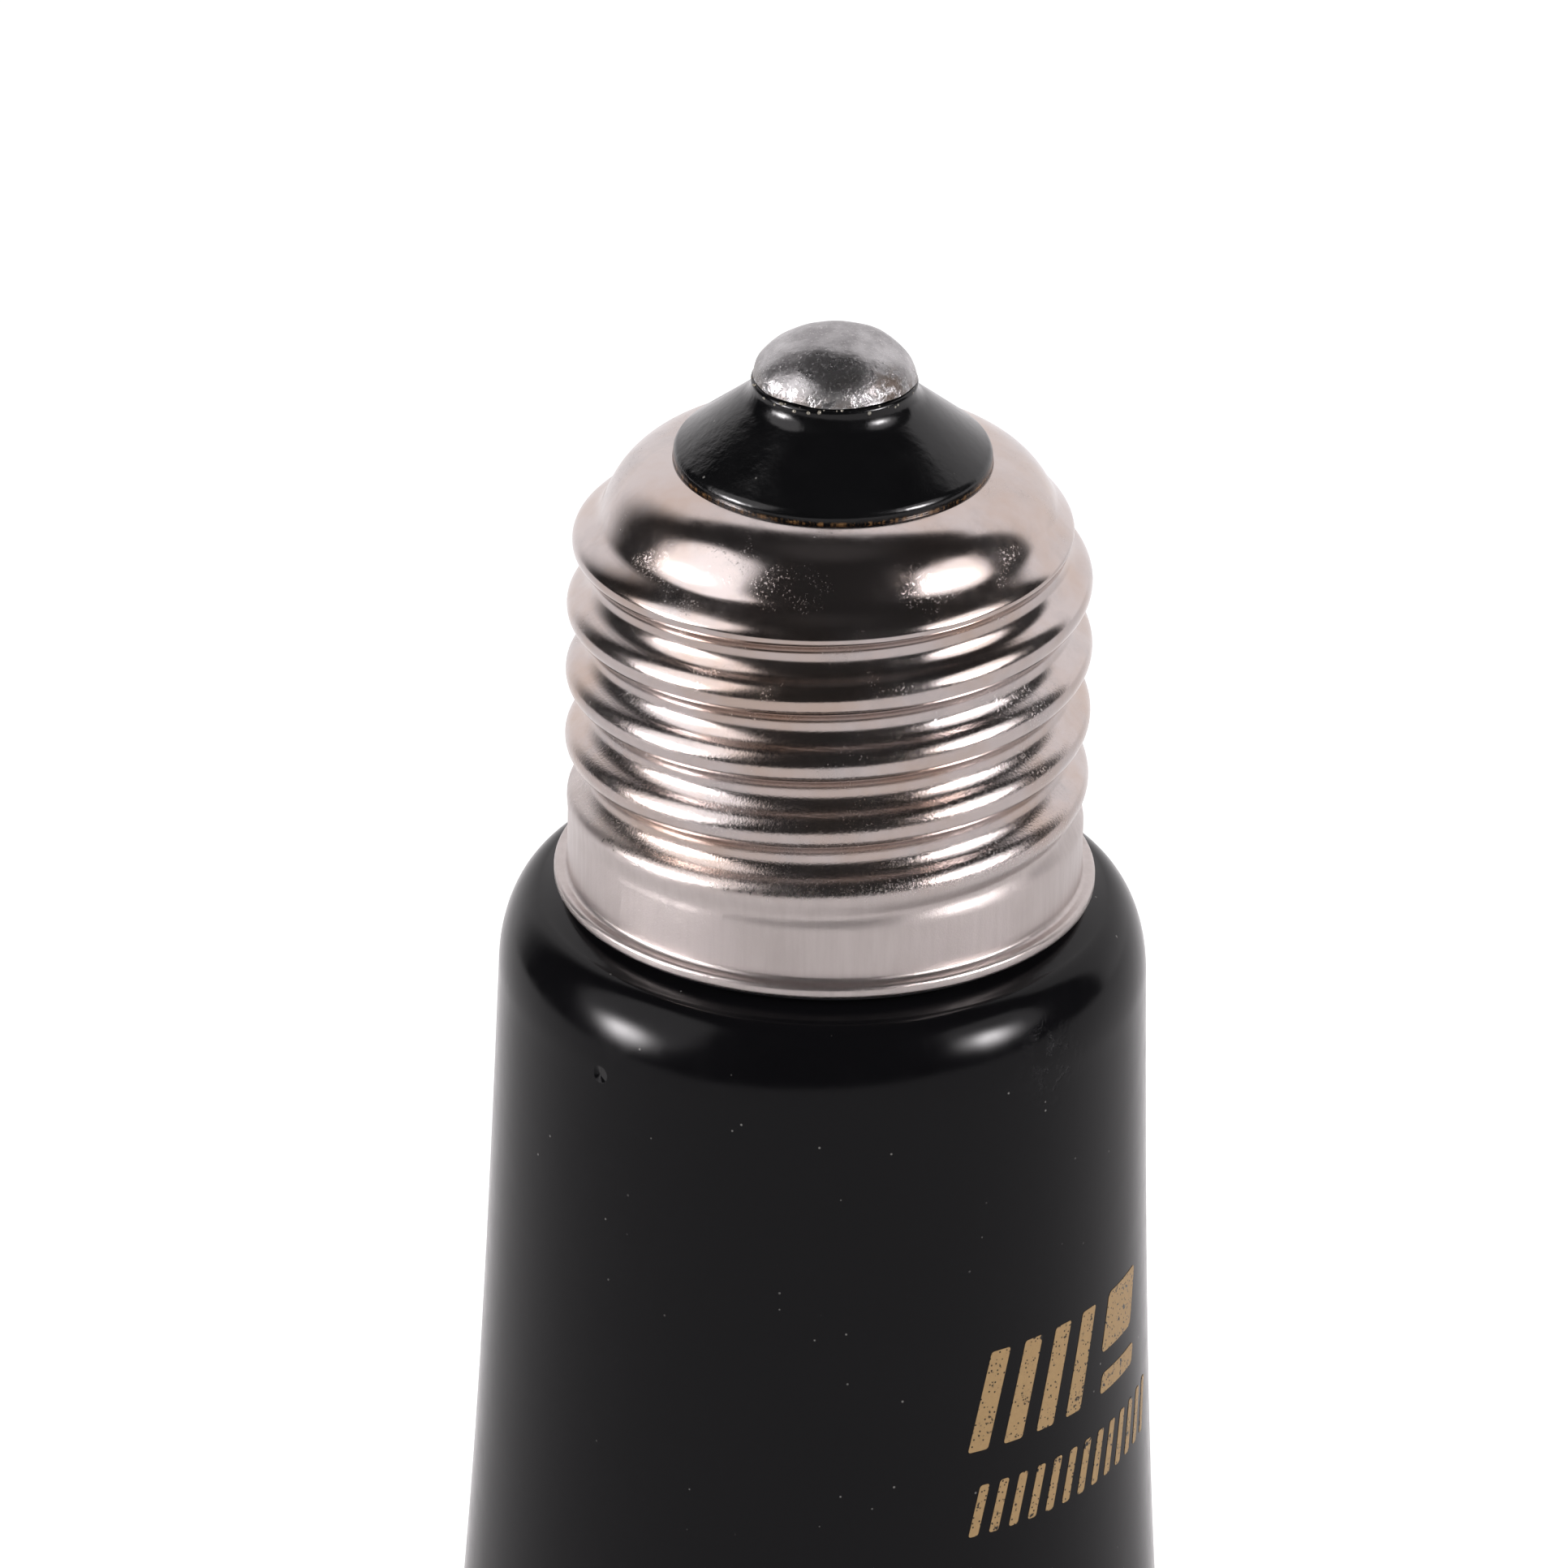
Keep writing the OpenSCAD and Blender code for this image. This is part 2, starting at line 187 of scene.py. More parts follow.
def apply_modifier(obj, name):
    """Make a modifier's result the mesh itself."""
    deselect()
    obj.select_set(True)
    bpy.context.view_layer.objects.active = obj
    bpy.ops.object.modifier_apply(modifier=name)


def arc(centre, r, start, end, steps):
    """Points of an arc in millimetres, from one angle to another in degrees."""
    angles = [math.radians(start + (end - start) * i / steps) for i in range(steps + 1)]
    return [(centre[0] + r * math.cos(a), centre[1] + r * math.sin(a)) for a in angles]


def report(obj):
    """Print how large a piece came out."""
    faces = len(obj.data.polygons)
    print(obj.name, faces, "faces,", [round(d / MM, 2) for d in obj.dimensions], "mm")


# %% [markdown]
# ## The ceramic body
# The body is pressed from clay, glazed black and fired. Its neck has a slight draft so that it
# leaves the mould, and glaze gathers into soft round shoulders. The neck is drawn with a smooth
# curve between two slopes, the flare and the rim are arcs that meet without a kink, and the
# heating face below has concentric rings. Drawing one section and spinning it gives clean
# quads and a smooth outline, which a subdivided cylinder would not.

# %% Sizes of the ceramic body
LIP_R = 13.65
LEDGE_W = 0.55
LEDGE_FALL = 0.75
SEAT_R = 13.03
SEAT_STEP = 0.3
SEAT_DRAFT = 0.05
SHOULDER_W = 2.2
SHOULDER_H = 4.45
NECK_SPREAD = 1.69
NECK_TOP_DRAFT = 1.7
NECK_FOOT_DRAFT = 4.3
FLARE_R = 25.0
BELL_TOP_R = 5.0
BELL_EDGE_H = 6.5
SPIGOT_R = 10.474
SPIGOT_H = 15.5
SPIGOT_BEVEL = 0.6
GROOVE_PITCH = 5.5
GROOVE_R = 2.2
GROOVE_DEPTH = 1.2
LAND_ROUND = 0.3
LAND_TURN = 8

rim = RIM_Z / MM
bell = BELL_R / MM
shoulder_crest_r = LIP_R + LEDGE_W
neck_r = shoulder_crest_r + SHOULDER_W
neck_top = rim - LEDGE_FALL - SHOULDER_H
foot_r = neck_r + NECK_SPREAD
bell_centre = (bell - BELL_TOP_R, BELL_EDGE_H)
flare_x = foot_r + FLARE_R * math.cos(math.radians(NECK_FOOT_DRAFT))
flare_z = BELL_EDGE_H + math.sqrt((FLARE_R + BELL_TOP_R) ** 2 - (flare_x - bell_centre[0]) ** 2)
foot_z = flare_z - FLARE_R * math.sin(math.radians(NECK_FOOT_DRAFT))
flare_end = math.degrees(math.atan2(flare_z - BELL_EDGE_H, flare_x - bell_centre[0]))
print("foot of the neck at", round(foot_z, 2), "mm, radius", round(foot_r, 2))


# %% Section of the ceramic body
def neck_radius(z):
    """Radius of the neck at a height in millimetres: a smooth curve between two slopes."""
    length = neck_top - foot_z
    t = (neck_top - z) / length
    top_slope = math.tan(math.radians(NECK_TOP_DRAFT))
    foot_slope = math.tan(math.radians(NECK_FOOT_DRAFT))
    return (
        (2 * t**3 - 3 * t**2 + 1) * neck_r
        + (t**3 - 2 * t**2 + t) * length * top_slope
        + (3 * t**2 - 2 * t**3) * foot_r
        + (t**3 - t**2) * length * foot_slope
    )


def ringed_face():
    """The heating face from its middle outwards: round grooves between softened lands."""
    centre_z = GROOVE_DEPTH - GROOVE_R
    half = math.sqrt(GROOVE_R**2 - centre_z**2)
    lean = math.degrees(math.atan2(-centre_z, half))
    points = [(0.0, 0.0)]
    count = int((bell - BELL_EDGE_H - half) / GROOVE_PITCH)
    for i in range(1, count + 1):
        r = i * GROOVE_PITCH
        points.append((r - half - LAND_ROUND, 0.0))
        points += arc((r, centre_z), GROOVE_R, 180 - lean - LAND_TURN, lean + LAND_TURN, 12)
        points.append((r + half + LAND_ROUND, 0.0))
    return points


def body_section():
    """From the middle of the heating face, round the bell, up the neck and to the spigot."""
    neck_rows = 40
    neck_heights = [foot_z + (neck_top - foot_z) * i / neck_rows for i in range(1, neck_rows)]
    shoulder = arc((0, 0), 1, 0, 90, 20)
    return (
        ringed_face()
        + arc((bell - BELL_EDGE_H, BELL_EDGE_H), BELL_EDGE_H, -90, 0, 24)
        + arc(bell_centre, BELL_TOP_R, 0, flare_end, 20)[1:]
        + arc((flare_x, flare_z), FLARE_R, 180 + flare_end, 180 + NECK_FOOT_DRAFT, 36)[1:]
        + [(neck_radius(z), z) for z in neck_heights]
        + [(shoulder_crest_r + SHOULDER_W * x, neck_top + SHOULDER_H * z) for x, z in shoulder]
        + [(SEAT_R + SEAT_DRAFT, rim - SEAT_STEP), (SEAT_R, rim), (SPIGOT_R, rim)]
        + [(SPIGOT_R, rim + SPIGOT_H - SPIGOT_BEVEL), (SPIGOT_R - SPIGOT_BEVEL, rim + SPIGOT_H)]
        + [(0.0, rim + SPIGOT_H)]
    )


body = turned_piece("glazed_body", [(r * MM, z * MM) for r, z in body_section()])
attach(body, "root")
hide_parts("ceramic_body")
report(body)

# %% [markdown]
# ## The screw shell
# A lamp cap is drawn from thin sheet into a cup, its crown is pierced, and the thread is then
# rolled in between two shaped wheels. That is why crests and roots are equal round waves, and
# why the thread dies out softly into the crown above and the plain skirt below. The shell is
# spun first as a plain cup with closely spaced rings. Each ring point in the thread zone is
# then moved in or out by the wave that the rolling wheel would have pressed there.

# %% Sizes of the screw shell
THREAD_R = 13.15
THREAD_PITCH = 3.629
THREAD_ROUND = 1.025
THREAD_PHASE = 2.394
SKIRT_R = 12.98
SKIRT_H = 3.4
RUNOUT_H = 2.6
SHELL_H = 23.57
CROWN_RISE = 14.8
CROWN_POWER = 5.45
FADE_H = 2.0
FADE_GAP = 2.6
OPENING_R = 7.97
SHELL_WALL = 0.28
LIP_H = 0.65
SHELL_STEPS = 180

crest_centre = THREAD_R - THREAD_ROUND
root_centre = crest_centre + math.sqrt((2 * THREAD_ROUND) ** 2 - (THREAD_PITCH / 2) ** 2)
root_r = root_centre - THREAD_ROUND
thread_end = SHELL_H - FADE_GAP
fade_start = thread_end - FADE_H
crown_base = SHELL_H - CROWN_RISE
print("root radius of the thread", round(root_r, 3), "mm")


# %% The shape that the rolling wheel leaves
def crown_radius(z):
    """Outer radius of the plain drawn cup, a superellipse towards the crown."""
    if z <= crown_base:
        return root_r
    share = ((z - crown_base) / CROWN_RISE) ** CROWN_POWER
    return root_r * (1 - share) ** (1 / CROWN_POWER)


def thread_wave(u):
    """Radius at a distance u from the nearest crest: one arc for the crest, one for the root."""
    if abs(u) <= THREAD_PITCH / 4:
        return crest_centre + math.sqrt(THREAD_ROUND**2 - u * u)
    return root_centre - math.sqrt(THREAD_ROUND**2 - (THREAD_PITCH / 2 - abs(u)) ** 2)


def blend(t):
    """A smooth step from 0 to 1."""
    t = min(1, max(0, t))
    return t * t * (3 - 2 * t)


def shell_radius(z, turn):
    """Outer radius of the shell at a height in millimetres and a share of a turn."""
    turns = (z - THREAD_PHASE) / THREAD_PITCH - turn
    wave = thread_wave((turns - math.floor(turns + 0.5)) * THREAD_PITCH) - root_r
    threaded = crown_radius(z) + wave * (1 - blend((z - fade_start) / FADE_H))
    above_skirt = blend((z - SKIRT_H) / RUNOUT_H)
    return SKIRT_R * (1 - above_skirt) + threaded * above_skirt


def crown_section(steps):
    """Points of the crown from the end of the thread in to the hole."""
    start = math.asin(((thread_end - crown_base) / CROWN_RISE) ** (CROWN_POWER / 2))
    end = math.acos((OPENING_R / root_r) ** (CROWN_POWER / 2))
    angles = [start + (end - start) * i / steps for i in range(1, steps + 1)]
    return [
        (
            root_r * math.cos(a) ** (2 / CROWN_POWER),
            crown_base + CROWN_RISE * math.sin(a) ** (2 / CROWN_POWER),
        )
        for a in angles
    ]


# %% Spin the cup and roll the thread
THREAD_RINGS = 150
SKIRT_RING_STEP = 0.25
LIP_LAP = 0.02
LIP_ROUND = 0.2
LIP_FILLET = 0.25
EDGE_INWARD = 0.1
EDGE_DOWN = 0.05


def shell_section():
    """Half section of the outside: rolled lip, skirt, rings for the thread, and crown."""
    lip = (
        [(SKIRT_R - SHELL_WALL + LIP_LAP, 0.0)]
        + arc((LIP_R - LIP_ROUND, LIP_ROUND), LIP_ROUND, -90, 0, 5)
        + arc((LIP_R - LIP_ROUND, LIP_H - LIP_ROUND), LIP_ROUND, 0, 90, 5)
        + arc((SKIRT_R + LIP_FILLET, LIP_H + LIP_FILLET), LIP_FILLET, 270, 180, 6)
    )
    rise = (thread_end - SKIRT_H) / THREAD_RINGS
    rings = [(SKIRT_R, SKIRT_H + rise * i) for i in range(THREAD_RINGS + 1)]
    skirt_foot = LIP_H + LIP_FILLET
    skirt_rings = round((SKIRT_H - skirt_foot) / SKIRT_RING_STEP)
    skirt = [(SKIRT_R, skirt_foot + SKIRT_RING_STEP * i) for i in range(1, skirt_rings)]
    edge = [(OPENING_R - EDGE_INWARD, crown_section(1)[-1][1] - EDGE_DOWN)]
    return lip + skirt + rings + crown_section(26) + edge


def roll_thread(obj):
    """Move each point of the thread zone to the radius that the rolled wave gives it."""
    for v in obj.data.vertices:
        z = v.co.z / MM - rim
        if SKIRT_H <= z <= thread_end + 0.001:
            angle = math.atan2(v.co.y, v.co.x)
            radius = shell_radius(z, angle / (2 * math.pi)) * MM
            v.co.x = radius * math.cos(angle)
            v.co.y = radius * math.sin(angle)
    obj.data.update()


shell = draw_section("rolled_shell", [(r * MM, (rim + z) * MM) for r, z in shell_section()])
spin_section(shell, SHELL_STEPS)
roll_thread(shell)
wall = shell.modifiers.new("wall", "SOLIDIFY")
wall.thickness = SHELL_WALL * MM
wall.offset = -1
apply_modifier(shell, "wall")
smooth(shell, 50)
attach(shell, "root")
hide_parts("screw_shell")
report(shell)

# %% [markdown]
# ## The glass insulator
# Black glass is melted into the hole of the crown and pressed to a cone. Surface tension rounds
# its lower edge into a small bead, and it climbs in a soft fillet to the collar that carries
# the contact. The half section is drawn with these roundings and spun.

# %% Insulator
GLASS_R = 7.93
GLASS_EDGE_H = 0.5
GLASS_CONE_H = 3.0
GLASS_NECK_R = 4.15
GLASS_BEAD = 0.55
GLASS_FILLET = 1.2
GLASS_HOLE_R = 1.33
GLASS_GRIP_R = 9.8
GLASS_GRIP_DROP = 1.15
GLASS_THROAT_DROP = 0.35
GLASS_DEPTH = 3.9
COLLAR_ROUND = 0.2
PLATE_R = 3.4
PLATE_SINK = 0.35

glass_top = GLASS_TOP_Z / MM
opening_z = rim + crown_section(1)[-1][1]
cone_foot_z = opening_z + GLASS_EDGE_H
cone_top_z = cone_foot_z + GLASS_CONE_H


def rounded_corner(a, b, c, r, steps):
    """The corner b between a and c, rounded with radius r; points are (radius, height)."""
    a, b, c = Vector(a), Vector(b), Vector(c)
    u = (a - b).normalized()
    v = (c - b).normalized()
    half = u.angle(v) / 2
    centre = b + (u + v).normalized() * (r / math.sin(half))
    start = b + u * (r / math.tan(half)) - centre
    end = b + v * (r / math.tan(half)) - centre
    begin = math.degrees(math.atan2(start.y, start.x))
    sweep = math.degrees(math.atan2(end.y, end.x)) - begin
    if sweep > 180:
        sweep -= 360
    if sweep < -180:
        sweep += 360
    return arc(centre, r, begin, begin + sweep, steps)


def glass_section():
    """From the lead hole out to the grip, through the opening, over the cone to the plate."""
    foot = (GLASS_R, cone_foot_z)
    cone_top = (GLASS_NECK_R, cone_top_z)
    collar = (GLASS_NECK_R, glass_top)
    return (
        [(GLASS_HOLE_R, opening_z - GLASS_DEPTH), (GLASS_GRIP_R, opening_z - GLASS_DEPTH)]
        + [(GLASS_GRIP_R, opening_z - GLASS_GRIP_DROP), (GLASS_R, opening_z - GLASS_THROAT_DROP)]
        + rounded_corner((GLASS_R, opening_z), foot, cone_top, GLASS_BEAD, 10)
        + rounded_corner(foot, cone_top, collar, GLASS_FILLET, 10)
        + rounded_corner(cone_top, collar, (0, glass_top), COLLAR_ROUND, 5)
        + [(PLATE_R, glass_top), (PLATE_R, glass_top - PLATE_SINK)]
        + [(GLASS_HOLE_R, glass_top - PLATE_SINK)]
        + [(GLASS_HOLE_R, opening_z - GLASS_DEPTH)]
    )


insulator = turned_piece("black_glass_cone", [(r * MM, z * MM) for r, z in glass_section()])
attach(insulator, "root")
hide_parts("cap_insulator")
report(insulator)

# %% [markdown]
# ## The solder contact
# A drop of solder is melted over the brass plate and the centre lead. It is never perfectly
# round: it slumps a little to one side, its skin wrinkles, and its lower edge overhangs the
# plate. The drop is spun as a dome and then pushed about by a displacement with a soft cloud
# pattern, which stands for that slumping.

# %% Solder drop
SOLDER_R = 4.09
SOLDER_POWER = 1.87
SOLDER_EDGE = 0.16
DOME_STEPS = 36
SLUMP_WIDTH = 2.2 * MM
SLUMP_DEPTH = 0.22 * MM
SLUMP_LEVEL = 0.62
solder_h = SOLDER_TOP_Z / MM - glass_top


def solder_section():
    """Half section of the drop: a flat underside, a tucked-in edge and a dome."""
    points = [(0.0, glass_top), (SOLDER_R - SOLDER_EDGE, glass_top)]
    for i in range(1, DOME_STEPS + 1):
        a = math.radians(90 * i / DOME_STEPS)
        r = SOLDER_R * math.cos(a) ** (2 / SOLDER_POWER)
        z = glass_top + solder_h * math.sin(a) ** (2 / SOLDER_POWER)
        points.append((max(0.0, r), z))
    return points


solder = turned_piece("solder_drop", [(r * MM, z * MM) for r, z in solder_section()], 96)
slump = solder.modifiers.new("slump", "DISPLACE")
slump.texture = bpy.data.textures.new("slump", "CLOUDS")
slump.texture.noise_scale = SLUMP_WIDTH
slump.texture.noise_depth = 1
slump.strength = SLUMP_DEPTH
slump.mid_level = SLUMP_LEVEL
slump.texture_coords = "LOCAL"
apply_modifier(solder, "slump")
smooth(solder, 60)
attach(solder, "root")
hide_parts("solder_contact")
report(solder)

# %% [markdown]
# Soldering leaves flux: clear, slightly yellow beads that hang under the edge of the drop. Each
# bead is a small icosphere, squashed and turned, in a row along the front edge. The random
# numbers come from a seeded generator, so each run gives the same. Where flux has burnt to a
# brown crust on the solder, the solder's finish shows it.

# %% Flux beads
FLUX_SEED = 7
FLUX_COUNT = 30
dice = random.Random(FLUX_SEED)


def flux_bead(angle, radius, height, size):
    """One bead of flux at an angle round the contact, in degrees, with sizes in millimetres."""
    a = math.radians(angle)
    place = (radius * MM * math.cos(a), radius * MM * math.sin(a), height * MM)
    deselect()
    bpy.ops.mesh.primitive_ico_sphere_add(subdivisions=3, radius=size * MM, location=place)
    bead = bpy.context.object
    bead.scale = (dice.uniform(0.6, 1.2), dice.uniform(0.6, 1.2), dice.uniform(0.5, 1.0))
    bead.rotation_euler = (dice.uniform(-0.5, 0.5), dice.uniform(-0.5, 0.5), a)
    bpy.ops.object.transform_apply(location=True, rotation=True, scale=True)
    return bead


def flux_row(name, count, low_angle, high_angle):
    """A row of beads just under the edge of the drop, joined into one piece."""
    beads = []
    for i in range(count):
        angle = low_angle + (high_angle - low_angle) * (i + dice.uniform(-0.4, 0.4)) / count
        size = dice.uniform(0.05, 0.15)
        radius = SOLDER_R + dice.uniform(-0.1, 0.06)
        beads.append(flux_bead(angle, radius, glass_top - dice.uniform(0.0, 0.3), size))
    deselect()
    for bead in beads:
        bead.select_set(True)
    bpy.context.view_layer.objects.active = beads[0]
    bpy.ops.object.join()
    row = bpy.context.object
    row.name = name
    smooth(row, 60)
    return row


flux = flux_row("flux_beads", FLUX_COUNT, -175, -5)
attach(flux, "root")
report(flux)

# %% [markdown]
# ## The rating print
# Such bodies carry a gold print, stamped on the glaze with a slightly starved pad, so that the
# glaze shows through in specks. Here it is a plain pattern with no meaning: leaning bars and
# two blocks over a row of dashes. Each mark starts as a plane with rounded corners and is cut
# across so that it can bend. It is wrapped on the neck by moving its points to the neck's
# radius, and stands a few hundredths proud.

# %% Gold print on the neck
PRINT_PROUD = 0.02
PRINT_START = -62.5
PRINT_CUT = 0.5
LEAN = 0.25
BAR_START = 0.6
BAR_TOP = rim - 19.4
BAR_HEIGHT = 5.4
BAR_WIDTH = 1.15
BAR_STEP = 2.1
BAR_COUNT = 4
HIGH_BLOCK_START = 9.7
HIGH_BLOCK_WIDTH = 3.4
HIGH_BLOCK_HEIGHT = 3.1
LOW_BLOCK_START = 9.3
LOW_BLOCK_DROP = 4.3
LOW_BLOCK_WIDTH = 3.8
LOW_BLOCK_HEIGHT = 1.1
DASH_START = 0.3
DASH_TOP = rim - 26.8
DASH_HEIGHT = 2.8
DASH_WIDTH = 0.55
DASH_STEP = 1.2
DASH_COUNT = 13


def print_mark(left, top, width, height, corner=0.15):
    """One mark: left is the distance along the neck from where the print starts."""
    deselect()
    bpy.ops.mesh.primitive_plane_add(size=1, location=(0, 0, 0))
    mark = bpy.context.object
    mark.scale = (width, height, 1)
    bpy.ops.object.transform_apply(location=False, rotation=False, scale=True)
    bpy.ops.object.mode_set(mode="EDIT")
    bpy.ops.mesh.select_all(action="SELECT")
    bpy.ops.mesh.bevel(offset=corner, segments=4, affect="VERTICES")
    for size, normal in ((width, (1, 0, 0)), (height, (0, 1, 0))):
        cuts = max(2, round(size / PRINT_CUT))
        for i in range(1, cuts):
            place = Vector(normal) * size * (i / cuts - 0.5)
            bpy.ops.mesh.select_all(action="SELECT")
            bpy.ops.mesh.bisect(plane_co=place, plane_no=normal)
    bpy.ops.object.mode_set(mode="OBJECT")
    for v in mark.data.vertices:
        z = top - height / 2 + v.co.y
        radius = neck_radius(z) + PRINT_PROUD
        along = left + width / 2 + v.co.x + v.co.y * LEAN
        angle = math.radians(PRINT_START) + along / radius
        v.co = Vector((radius * math.cos(angle), radius * math.sin(angle), z)) * MM
    return mark


def gold_print():
    """Leaning bars and two blocks over a row of leaning dashes, joined into one piece."""
    marks = []
    for i in range(BAR_COUNT):
        marks.append(print_mark(BAR_START + BAR_STEP * i, BAR_TOP, BAR_WIDTH, BAR_HEIGHT))
    low_top = BAR_TOP - LOW_BLOCK_DROP
    marks.append(
        print_mark(LOW_BLOCK_START, low_top, LOW_BLOCK_WIDTH, LOW_BLOCK_HEIGHT, corner=0.25)
    )
    marks.append(
        print_mark(HIGH_BLOCK_START, BAR_TOP, HIGH_BLOCK_WIDTH, HIGH_BLOCK_HEIGHT, corner=0.3)
    )
    for i in range(DASH_COUNT):
        marks.append(print_mark(DASH_START + DASH_STEP * i, DASH_TOP, DASH_WIDTH, DASH_HEIGHT))
    deselect()
    for mark in marks:
        mark.select_set(True)
    bpy.context.view_layer.objects.active = marks[0]
    bpy.ops.object.join()
    piece = bpy.context.object
    piece.name = "gold_print"
    film = piece.modifiers.new("film", "SOLIDIFY")
    film.thickness = PRINT_PROUD * 0.9 * MM
    film.offset = -1
    apply_modifier(piece, "film")
    smooth(piece, 30)
    return piece


gold = gold_print()
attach(gold, "root")
report(gold)

# %% [markdown]
# ## Finishes
# Every finish is a small network of nodes. Patterns read Object coordinates, which are metres
# on the part itself, so a scale of 1000 gives a grain of about a millimetre. These helpers add
# one node each and keep the recipes short enough to read.


# %% Helpers for finishes
class Finish:
    """A material under construction: its nodes, its links and its main shader."""

    def __init__(self, name):
        self.material = bpy.data.materials.new(name)
        self.material.use_nodes = True
        self.nodes = self.material.node_tree.nodes
        self.links = self.material.node_tree.links
        self.shader = self.nodes["Principled BSDF"]
        self.place = self.nodes.new("ShaderNodeTexCoord").outputs["Object"]

    def set(self, **values):
        """Set plain numbers or colours on the shader's own sockets."""
        for name, value in values.items():
            self.shader.inputs[name.replace("_", " ")].default_value = value

    def link(self, output, name):
        """Let a pattern drive one socket of the shader."""
        self.links.new(output, self.shader.inputs[name])

    def stretched(self, scale):
        """Object coordinates, stretched by a scale along each axis."""
        node = self.nodes.new("ShaderNodeMapping")
        node.inputs["Scale"].default_value = scale
        self.links.new(self.place, node.inputs["Vector"])
        return node.outputs["Vector"]

    def noise(self, scale, detail, rough=0.5, vector=None):
        """A cloudy pattern from 0 to 1, mostly near a half."""
        node = self.nodes.new("ShaderNodeTexNoise")
        node.inputs["Scale"].default_value = scale
        node.inputs["Detail"].default_value = detail
        node.inputs["Roughness"].default_value = rough
        self.links.new(vector or self.place, node.inputs["Vector"])
        return node.outputs["Fac"]

    def cells(self, scale):
        """Distance to the nearest of many scattered points, which makes round specks."""
        node = self.nodes.new("ShaderNodeTexVoronoi")
        node.inputs["Scale"].default_value = scale
        self.links.new(self.place, node.inputs["Vector"])
        return node.outputs["Distance"]

    def ramp(self, factor, stops):
        """A colour ramp; stops are (position, grey or colour)."""
        node = self.nodes.new("ShaderNodeValToRGB")
        elements = node.color_ramp.elements
        while len(elements) < len(stops):
            elements.new(0.5)
        for element, (position, colour) in zip(elements, stops):
            element.position = position
            rgb = colour if isinstance(colour, tuple) else (colour, colour, colour)
            element.color = (*rgb, 1)
        self.links.new(factor, node.inputs["Fac"])
        return node.outputs["Color"]

    def math(self, operation, a, b):
        """One sum with two values; each is a socket or a number."""
        node = self.nodes.new("ShaderNodeMath")
        node.operation = operation
        for socket, value in zip(node.inputs, (a, b)):
            if isinstance(value, (int, float)):
                socket.default_value = value
            else:
                self.links.new(value, socket)
        return node.outputs["Value"]

    def mix(self, factor, a, b):
        """Mix two colours; each is a socket or a colour."""
        node = self.nodes.new("ShaderNodeMix")
        node.data_type = "RGBA"
        for socket, value in ((node.inputs[0], factor), (node.inputs[6], a), (node.inputs[7], b)):
            if isinstance(value, (int, float)):
                socket.default_value = value
            elif isinstance(value, tuple):
                socket.default_value = (*value, 1)
            else:
                self.links.new(value, socket)
        return node.outputs[2]

    def between(self, value, low, high, to_low=0.0, to_high=1.0):
        """Map a value from one range to another, clamped."""
        node = self.nodes.new("ShaderNodeMapRange")
        for name, number in (
            ("From Min", low),
            ("From Max", high),
            ("To Min", to_low),
            ("To Max", to_high),
        ):
            node.inputs[name].default_value = number
        self.links.new(value, node.inputs["Value"])
        return node.outputs["Result"]

    def bump(self, height, depth, strength, below=None):
        """Add a bump of a real depth in metres, on top of an earlier bump."""
        node = self.nodes.new("ShaderNodeBump")
        node.inputs["Strength"].default_value = strength
        node.inputs["Distance"].default_value = depth
        self.links.new(height, node.inputs["Height"])
        if below:
            self.links.new(below, node.inputs["Normal"])
        return node.outputs["Normal"]

    def near(self, place, core, reach):
        """1 within a core radius of a place, falling to 0 at a reach; both in millimetres."""
        node = self.nodes.new("ShaderNodeVectorMath")
        node.operation = "DISTANCE"
        node.inputs[1].default_value = place
        self.links.new(self.place, node.inputs[0])
        return self.between(node.outputs["Value"], reach * MM, core * MM)

    def axis(self, name):
        """One of the part's own coordinates."""
        node = self.nodes.new("ShaderNodeSeparateXYZ")
        self.links.new(self.place, node.inputs["Vector"])
        return node.outputs[name]


def mark_place(x, y, z):
    """A place in metres, from millimetres across, in depth and above the rim."""
    return (x * MM, y * MM, RIM_Z + z * MM)


def wear(obj, finish):
    """Give a piece its finish as its only material."""
    obj.data.materials.clear()
    obj.data.materials.append(finish.material)
    print(obj.name, "wears", finish.material.name)


# %% [markdown]
# Glaze is a glass skin: very dark, smooth and slightly wavy like orange peel. A few dust specks
# sit on it. The waviness is a shallow bump, and the specks come from a cell pattern with a
# small threshold, mixed in as paler spots. Two marks have a place of their own, measured from
# the axis and the rim: a rubbed spot on the right of the shoulder and a pinhole on its left.

# %% Black glaze
GLAZE = (0.0024, 0.0023, 0.0028)
DUST = (0.13, 0.125, 0.12)
SCUFF = mark_place(11.6, -11.6, -4.4)
PINHOLE = mark_place(-10.9, -12.2, -5.2)


